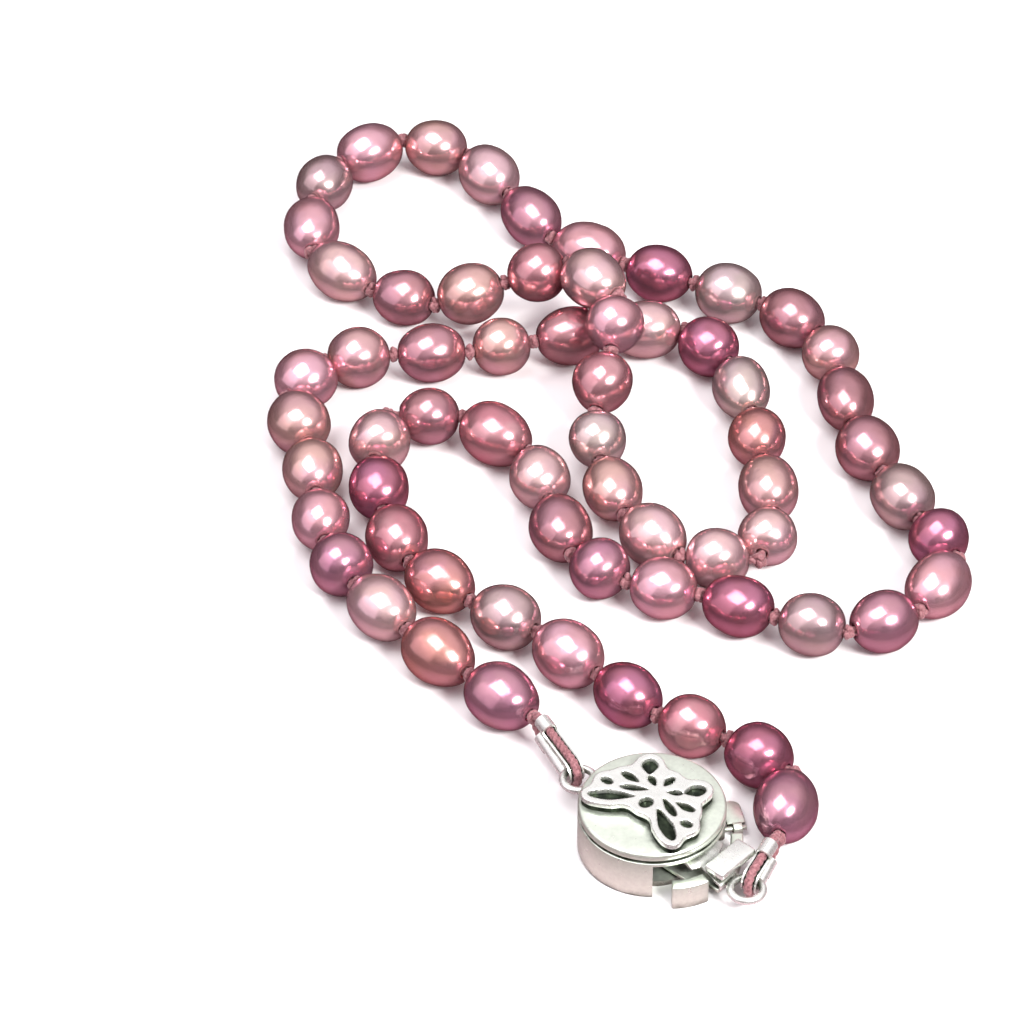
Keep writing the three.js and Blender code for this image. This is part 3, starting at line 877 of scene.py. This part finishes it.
VALLEY_FILL = 1.3                   # how much metal fills the notches between rims


def opening_outline(opening, mirror, sides=40):
    (x, y), length, width, toward, is_round = opening
    direction = math.radians(toward if mirror > 0 else 180 - toward)
    points = []
    for i in range(sides):
        angle = 2 * math.pi * i / sides
        along = math.cos(angle) * length / 2
        slim = 1 if is_round else 1 - 0.55 * max(math.cos(angle), 0)
        across = math.sin(angle) * width / 2 * slim
        points.append((
            x * mirror + along * math.cos(direction) - across * math.sin(direction),
            y + along * math.sin(direction) + across * math.cos(direction),
        ))
    return points


def outline_distance(x, y, outline):
    """Distance from each grid point to the outline, negative inside it."""
    nearest = np.full(x.shape, 1e9)
    inside = np.zeros(x.shape, bool)
    for (ax, ay), (bx, by) in zip(outline, outline[1:] + outline[:1]):
        ex, ey = bx - ax, by - ay
        t = np.clip(((x - ax) * ex + (y - ay) * ey) / (ex * ex + ey * ey), 0, 1)
        nearest = np.minimum(nearest, np.hypot(x - ax - t * ex, y - ay - t * ey))
        if ay != by:
            crossing = (y < ay) != (y < by)
            inside ^= crossing & (x < ax + (y - ay) * ex / ey)
    return np.where(inside, -nearest, nearest)


def smooth_least(a, b, reach):
    h = np.clip(0.5 + 0.5 * (b - a) / reach, 0, 1)
    return b * (1 - h) + a * h - reach * h * (1 - h)


def butterfly_fields():
    """Grid, distance outside the butterfly's silhouette, and distance inside an opening."""
    side = np.arange(-7.0, 7.0, GRID_STEP)
    x, y = np.meshgrid(side, side, indexing="ij")
    outlines = [opening_outline(o, mirror) for o in WING_OPENINGS for mirror in (1, -1)]
    outlines += [opening_outline(o, 1) for o in BODY_OPENINGS]
    silhouette = None
    opening = None
    for outline in outlines:
        distance = outline_distance(x, y, outline)
        grown = distance - BUTTERFLY_RIM
        silhouette = grown if silhouette is None else smooth_least(silhouette, grown, VALLEY_FILL)
        opening = distance if opening is None else np.minimum(opening, distance)
    return x, y, silhouette, opening


def relief(x, y, field, bottom, top, edge):
    """A flat relief where the field is negative, with its upper edge rounded."""
    slope_x, slope_y = np.gradient(field, GRID_STEP)
    steepness = np.maximum(np.hypot(slope_x, slope_y), 0.2)
    cells = (field[:-1, :-1] + field[1:, :-1] + field[:-1, 1:] + field[1:, 1:]) < 0
    index = {}
    vertices = []
    faces = []

    def corner(i, j):
        if (i, j) not in index:
            index[(i, j)] = len(vertices)
            vertices.append((i, j))
        return index[(i, j)]

    for i, j in zip(*np.nonzero(cells)):
        faces.append((corner(i, j), corner(i + 1, j), corner(i + 1, j + 1), corner(i, j + 1)))
    uses = {}
    for face in faces:
        for a, b in zip(face, face[1:] + face[:1]):
            uses[(a, b)] = uses.get((a, b), 0) + 1
    rim = [(a, b) for a, b in uses if (b, a) not in uses]
    on_rim = {a for edge_pair in rim for a in edge_pair}
    upper = []
    lower = []
    for number, (i, j) in enumerate(vertices):
        px, py, depth = x[i, j], y[i, j], max(-field[i, j], 0.0)
        if number in on_rim:
            shift = field[i, j] / steepness[i, j] ** 2
            px -= shift * slope_x[i, j]
            py -= shift * slope_y[i, j]
            depth = 0.0
        drop = 1 - min(depth / edge, 1.0)
        upper.append(Vector((px, py, top - edge * (1 - math.sqrt(1 - drop * drop)))))
        lower.append(Vector((px, py, bottom)))
    count = len(upper)
    faces += [tuple(count + i for i in reversed(face)) for face in faces]
    faces += [(b, a, count + a, count + b) for a, b in rim]
    return upper + lower, faces


def add_butterfly():
    x, y, silhouette, opening = butterfly_fields()
    backing = relief(x, y, silhouette + 0.05, LID_TOP, LID_TOP + 0.5, 0.12)
    add_metal("butterfly_base", backing, BUTTERFLY, OXIDISED, ROOT, "oxidised_silver",
              "butterfly_backing")
    plate_field = np.maximum(silhouette, OPENING_GROWTH - opening)
    plate = relief(x, y, plate_field, LID_TOP + 0.55, LID_TOP + 1.1, 0.07)
    add_metal("butterfly_openwork", plate, BUTTERFLY, BRIGHT, ROOT, "bright_silver",
              "butterfly_plate")


def necked(start, shoulder, end, wide=4.2, slim=2.4):
    return [
        (start, -wide / 2), (shoulder, -wide / 2), (shoulder + 0.3, -slim / 2),
        (end, -slim / 2), (end, slim / 2), (shoulder + 0.3, slim / 2),
        (shoulder, wide / 2), (start, wide / 2),
    ]


BLOCK_HEIGHT = 2.6
BLOCK_GAP_ANGLE = math.radians(16)
BLOCK_END_ANGLE = math.radians(46)


def add_tongue():
    floor = CASE_FLOOR + GAP
    base = rounded(prism(necked(-1.5, 4.1, 6.9), floor, floor + 0.4), 0.08)
    add_metal("tongue_plate", base, PULLED, SILVER, TONGUE, "silver", "tongue_base")
    inside = CASE_RADIUS - CASE_WALL + 0.1
    for side, name in ((-1, "left"), (1, "right")):
        start, end = sorted((BLOCK_GAP_ANGLE * side, BLOCK_END_ANGLE * side))
        outline = sector(inside, CASE_RADIUS, start, end, 12)
        block = rounded(prism(outline, 0, BLOCK_HEIGHT), 0.14)
        add_metal(f"end_block_{name}", block, PULLED, SILVER, TONGUE, "silver",
                  f"tongue_block_{name}")


LEAF_FOLD = (6.6, 1.6)
LEAF_TIP = (2.4, 3.35)


def leaf_side():
    """The leaf's middle line in x and z: a tight fold, then the long spring."""
    points = []
    for i in range(9):
        angle = math.radians(-60 + 170 * i / 8)
        points.append((6.75 + 0.32 * math.cos(angle), 1.68 + 0.3 * math.sin(angle)))
    for i in range(1, 13):
        t = i / 12
        x = LEAF_FOLD[0] + (LEAF_TIP[0] - LEAF_FOLD[0]) * t
        z = LEAF_FOLD[1] + 0.34 + (LEAF_TIP[1] - LEAF_FOLD[1] - 0.1) * t + 0.12 * math.sin(math.pi * t)
        points.append((x, z))
    return points


def add_leaf():
    line = leaf_side()
    half = 0.15
    rings = []
    for i, (x, z) in enumerate(line):
        before = line[max(i - 1, 0)]
        after = line[min(i + 1, len(line) - 1)]
        run = math.hypot(after[0] - before[0], after[1] - before[1])
        nx, nz = -(after[1] - before[1]) / run * half, (after[0] - before[0]) / run * half
        width = 1.2 if x > 4.8 else 2.1
        rings.append([
            Vector((x + nx, -width, z + nz)), Vector((x + nx, width, z + nz)),
            Vector((x - nx, width, z - nz)), Vector((x - nx, -width, z - nz)),
        ])
    leaf = rounded(loft(rings), 0.06, 2)
    add_metal("spring_leaf", leaf, PULLED, BRIGHT, "leaf", "bright_silver", "tongue_leaf")


TAB_REACH = 5.85                    # from the case centre with the tongue home
TAB_BOTTOM = 2.95
TAB_TOP = 3.75


def add_thumb_tab():
    """A broad bar for the thumb, on a foot that stands on the leaf."""
    corners = ((-0.4, -1.1), (0.4, -1.1), (0.4, 1.1), (-0.4, 1.1))
    foot = [Vector((TAB_REACH + dx, dy, 0)) for dx, dy in corners]
    rings = [[p + Vector((0, 0, z)) for p in foot] for z in (2.1, 3.0)]
    outline = [(-0.5, -1.5), (1.7, -1.5), (1.7, 3.1), (-0.5, 3.1)]
    vertices, faces = prism(outline, TAB_BOTTOM, TAB_TOP)
    bar = [v + Vector((TAB_REACH, 0, 0)) for v in vertices], faces
    tab = merged([rounded(loft(rings), 0.08, 2), rounded(bar, 0.28, 4)])
    add_metal("press_tab", tab, PULLED, BRIGHT, "leaf", "bright_silver", "thumb_tab")


TAG_TURN = CLASP @ Matrix.Rotation(math.radians(53), 4, "Z")
TAG_HEIGHT = 0.75
TAG_REACH = CASE_RADIUS + 1.25
TAG_WIDTH = 1.7
TAG_LENGTH = 3.4


def add_tag():
    half = TAG_WIDTH / 2
    up = Vector((0, 0, 1))
    side = Vector((0, 1, 0))
    start, end = CASE_RADIUS - 0.1, TAG_REACH + half
    pin = [ring_round(Vector((x, 0, TAG_HEIGHT)), side, up, [0.22] * 16) for x in (start, end)]
    add_metal("tag_hinge_pin", rounded(loft(pin), 0.05, 2), TAG_TURN, SILVER, ROOT, "silver",
              "tag_pin")
    outline = [(TAG_REACH + half, 0.5), (TAG_REACH + half, TAG_LENGTH - half)]
    for i in range(1, 18):
        angle = math.pi * i / 18
        outline.append((TAG_REACH + half * math.cos(angle), TAG_LENGTH - half + half * math.sin(angle)))
    outline += [(TAG_REACH - half, TAG_LENGTH - half), (TAG_REACH - half, 0.5)]
    plate = rounded(prism(outline, TAG_HEIGHT - 0.15, TAG_HEIGHT + 0.15), 0.08, 3)
    eye = []
    for x in (TAG_REACH - half / 2, TAG_REACH + half / 2):
        eye.append(ring_round(Vector((x, 0, TAG_HEIGHT)), side, up, [0.52] * 28))
    for x in (TAG_REACH + half / 2, TAG_REACH - half / 2):
        eye.append(ring_round(Vector((x, 0, TAG_HEIGHT)), side, up, [0.3] * 28))
    shape = merged([plate, rounded(loft(eye, wrap=True), 0.06, 2)])
    add_metal("oval_tag", shape, TAG_TURN, SILVER, "tag", "silver", "blank_tag")


# ---- Camera, floor and light -------------------------------------------------------

CAMERA_ELEVATION = math.radians(41)
CAMERA_ANGLE = math.radians(12)
CAMERA_DISTANCE = 468.4             # from the layout's origin


def look_at(thing, target):
    direction = target - thing.location
    thing.rotation_euler = direction.to_track_quat("-Z", "Y").to_euler()


def add_camera():
    camera = bpy.data.objects.new("camera", bpy.data.cameras.new("camera"))
    bpy.context.scene.collection.objects.link(camera)
    camera.data.angle = CAMERA_ANGLE
    camera.data.clip_start = 0.01
    back = math.cos(CAMERA_ELEVATION) * CAMERA_DISTANCE
    up = math.sin(CAMERA_ELEVATION) * CAMERA_DISTANCE
    camera.location = placed((0, -back, up))
    look_at(camera, placed((0, 0, 0)))
    bpy.context.scene.camera = camera


def add_floor():
    size = 1.6
    mesh = bpy.data.meshes.new("floor")
    corners = [(-size, -size, 0), (size, -size, 0), (size, size, 0), (-size, size, 0)]
    mesh.from_pydata(corners, [], [(0, 1, 2, 3)])
    nodes = Nodes("pale_floor")
    nodes.set(Roughness=0.8, Specular_IOR_Level=0.1)
    # Painted reflection: to glossy rays the floor is painted dark, dusky pink close by and almost black
    # a few millimetres off, so the pearls' lower halves show painted shade; to the camera and to
    # diffuse light the floor stays pale.
    path = nodes.add("ShaderNodeLightPath").outputs
    far = nodes.ramp(path["Ray Length"], 0.0, 1.0, 0.002, 0.009)
    painted_dark_reflection = nodes.mix(far, (0.34, 0.23, 0.26), (0.05, 0.02, 0.026))
    nodes.paint(nodes.mix(path["Is Glossy Ray"], (0.90, 0.88, 0.885), painted_dark_reflection))
    mesh.materials.append(nodes.material)
    floor = bpy.data.objects.new("floor", mesh)
    bpy.context.scene.collection.objects.link(floor)
    floor.location.z = -0.00002


def soft_box(name, azimuth, elevation, distance, width, height, power, colour=(1, 1, 1)):
    """An area light, placed round the object: azimuth 0 is in front, 90 to the right."""
    light = bpy.data.lights.new(name, "AREA")
    light.shape = "RECTANGLE"
    light.size = width
    light.size_y = height
    light.energy = power
    light.color = colour
    holder = bpy.data.objects.new(name, light)
    bpy.context.scene.collection.objects.link(holder)
    turn = math.radians(azimuth)
    rise = math.radians(elevation)
    holder.location = Vector((
        math.sin(turn) * math.cos(rise), -math.cos(turn) * math.cos(rise), math.sin(rise),
    )) * distance
    look_at(holder, Vector((0, 0, 0)))


def dark_card(name, azimuth, elevation, distance, width, height):
    """A dark board that the pearls mirror, as they mirror whoever holds the camera."""
    mesh = bpy.data.meshes.new(name)
    w, h = width / 2, height / 2
    mesh.from_pydata([(-w, -h, 0), (w, -h, 0), (w, h, 0), (-w, h, 0)], [], [(0, 1, 2, 3)])
    nodes = Nodes(name)
    nodes.set(Base_Color=(0.03, 0.02, 0.022, 1), Roughness=0.9)
    mesh.materials.append(nodes.material)
    card = bpy.data.objects.new(name, mesh)
    bpy.context.scene.collection.objects.link(card)
    turn = math.radians(azimuth)
    rise = math.radians(elevation)
    card.location = Vector((
        math.sin(turn) * math.cos(rise), -math.cos(turn) * math.cos(rise), math.sin(rise),
    )) * distance
    look_at(card, Vector((0, 0, 0)))
    card.visible_camera = False
    card.visible_diffuse = False
    card.visible_shadow = False


def add_surroundings():
    """A pale ceiling over a darker room, all round the object."""
    world = bpy.data.worlds.new("studio")
    bpy.context.scene.world = world
    world.use_nodes = True
    tree = world.node_tree
    place = tree.nodes.new("ShaderNodeTexCoord")
    split = tree.nodes.new("ShaderNodeSeparateXYZ")
    ramp = tree.nodes.new("ShaderNodeValToRGB")
    tree.links.new(place.outputs["Generated"], split.inputs[0])
    tree.links.new(split.outputs["Z"], ramp.inputs["Fac"])
    tree.links.new(ramp.outputs["Color"], tree.nodes["Background"].inputs["Color"])
    stops = [
        (0.0, (0.05, 0.02, 0.028)), (0.2, (0.08, 0.035, 0.045)), (0.42, (0.30, 0.24, 0.26)),
        (0.7, (0.80, 0.76, 0.78)), (1.0, (1.0, 0.97, 0.98)),
    ]
    elements = ramp.color_ramp.elements
    while len(elements) < len(stops):
        elements.new(0.5)
    for element, (position, colour) in zip(elements, stops):
        element.position = position
        element.color = (*colour, 1)
    tree.nodes["Background"].inputs["Strength"].default_value = 1.0


def add_lights():
    soft_box("key", 36, 43, 0.7, 0.24, 0.12, 7.0, (1.0, 0.985, 0.97))
    soft_box("overhead", -60, 72, 0.9, 0.6, 0.6, 5.5, (0.98, 0.98, 1.0))
    soft_box("left_wall", -70, 26, 0.9, 0.9, 0.8, 1.7, (1.0, 0.92, 0.98))
    dark_card("dark_card", 24, 16, 0.4, 0.34, 0.20)


def set_tones():
    """Bright, contrasty tones, as in a product picture on white."""
    view = bpy.context.scene.view_settings
    view.view_transform = "Standard"
    view.exposure = 0.0


# ---- Build -------------------------------------------------------------------------

add_camera()
add_thread()
add_strand()
add_guard("guard_by_case", knots[0], CASE_RING_CENTRE, ROOT, "guard_case")
add_guard("guard_by_tongue", knots[PEARL_COUNT], TONGUE_RING_CENTRE, TONGUE, "guard_tongue")
add_ring("ring_on_case", CASE_RING_CENTRE, ROOT, "case_ring")
add_ring("ring_on_tongue", TONGUE_RING_CENTRE, TONGUE, "tongue_ring")
add_case()
add_lid()
add_butterfly()
add_tongue()
add_leaf()
add_thumb_tab()
add_tag()
add_floor()
add_surroundings()
add_lights()
set_tones()
